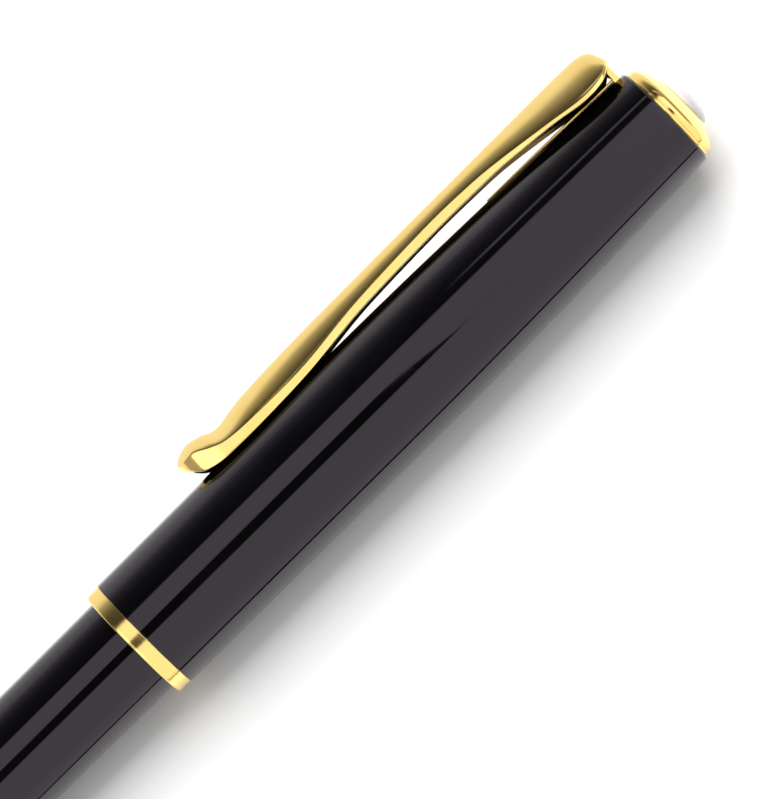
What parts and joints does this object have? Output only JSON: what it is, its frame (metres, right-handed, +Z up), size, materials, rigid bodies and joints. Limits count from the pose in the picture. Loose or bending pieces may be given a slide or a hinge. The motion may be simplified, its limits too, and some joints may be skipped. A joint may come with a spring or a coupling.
{
  "type": "capped rollerball pen",
  "caption": "Capped rollerball pen with a lacquered metal body, a sprung clip on the cap, a domed crown and a screw-in grip section that holds a refill.",
  "frame": {"origin": "bottom centre of the capped pen's box, on the surface that the cap lies on", "axes": "+X along the pen towards the crown, +Y towards the clip, +Z up"},
  "size_m": [0.137, 0.0144, 0.0113],
  "materials": {
    "black_lacquer": "high gloss lacquer over brass",
    "gold_plate": "polished gold plate over brass",
    "white_cabochon": "satin",
    "plain_brass": "as turned",
    "steel": "bright drawn",
    "carbide": "ground hard metal",
    "black_plastic": "moulded",
    "pale_plastic": "moulded, translucent white",
    "ink_fibre": "bundled fibre, ink soaked",
    "black_rubber": "matt"
  },
  "bodies": {
    "barrel": {"barrel_tube": "black_lacquer", "barrel_thread_bush": "plain_brass", "barrel_end_bush": "plain_brass", "barrel_end_plug": "gold_plate"},
    "seal": {"seal_washer": "black_rubber"},
    "section": {"section_thread": "plain_brass", "section_ring": "gold_plate", "grip_section": "black_lacquer", "nose_cone": "gold_plate"},
    "clutch": {"clutch_ring": "steel"},
    "cap": {"cap_tube": "black_lacquer", "cap_band": "gold_plate", "inner_cap": "black_plastic", "crown_bush": "plain_brass", "crown_screw": "plain_brass", "crown_ring": "gold_plate", "crown_cabochon": "white_cabochon"},
    "clip": {"clip": "gold_plate"},
    "refill": {"refill_tube": "steel", "refill_end_plug": "pale_plastic", "ink_reservoir": "ink_fibre", "feed_wick": "ink_fibre", "refill_front": "pale_plastic", "refill_tip": "steel", "refill_spring": "steel", "spring_cup": "black_plastic"},
    "ball": {"tip_ball": "carbide"}
  },
  "joints": [
    {"name": "section_travel", "type": "slide", "parent": "barrel", "child": "seal", "axis": [1, 0, 0], "range_m": [0, 0.005]},
    {"name": "section_turn", "type": "hinge", "parent": "seal", "child": "section", "pos_m": [0, -0.00159, 0.00563], "axis": [1, 0, 0], "range_deg": [0, 1800]},
    {"name": "cap_pull", "type": "slide", "parent": "section", "child": "clutch", "axis": [1, 0, 0], "range_m": [0, 0.06]},
    {"name": "cap_turn", "type": "hinge", "parent": "clutch", "child": "cap", "pos_m": [0, -0.00159, 0.00563], "axis": [1, 0, 0], "continuous": true},
    {"name": "clip_flex", "type": "hinge", "parent": "cap", "child": "clip", "pos_m": [0.06486, 0.00316, 0.00563], "axis": [0, 0, -1], "range_deg": [0, 4], "stiffness_Nm_per_rad": 3, "springref_deg": -1.15},
    {"name": "refill_press", "type": "slide", "parent": "barrel", "child": "refill", "axis": [1, 0, 0], "range_m": [-0.0012, 0], "stiffness_N_per_m": 500, "springref_m": 0.002, "deforming": ["refill_spring"]},
    {"name": "ball_roll", "type": "hinge", "parent": "refill", "child": "ball", "pos_m": [0.05121, -0.00159, 0.00563], "axis": [0, 1, 0], "continuous": true}
  ],
  "couplings": [
    {"joint": "section_turn", "follows": "section_travel", "rad_per_m": 6283.2}
  ]
}
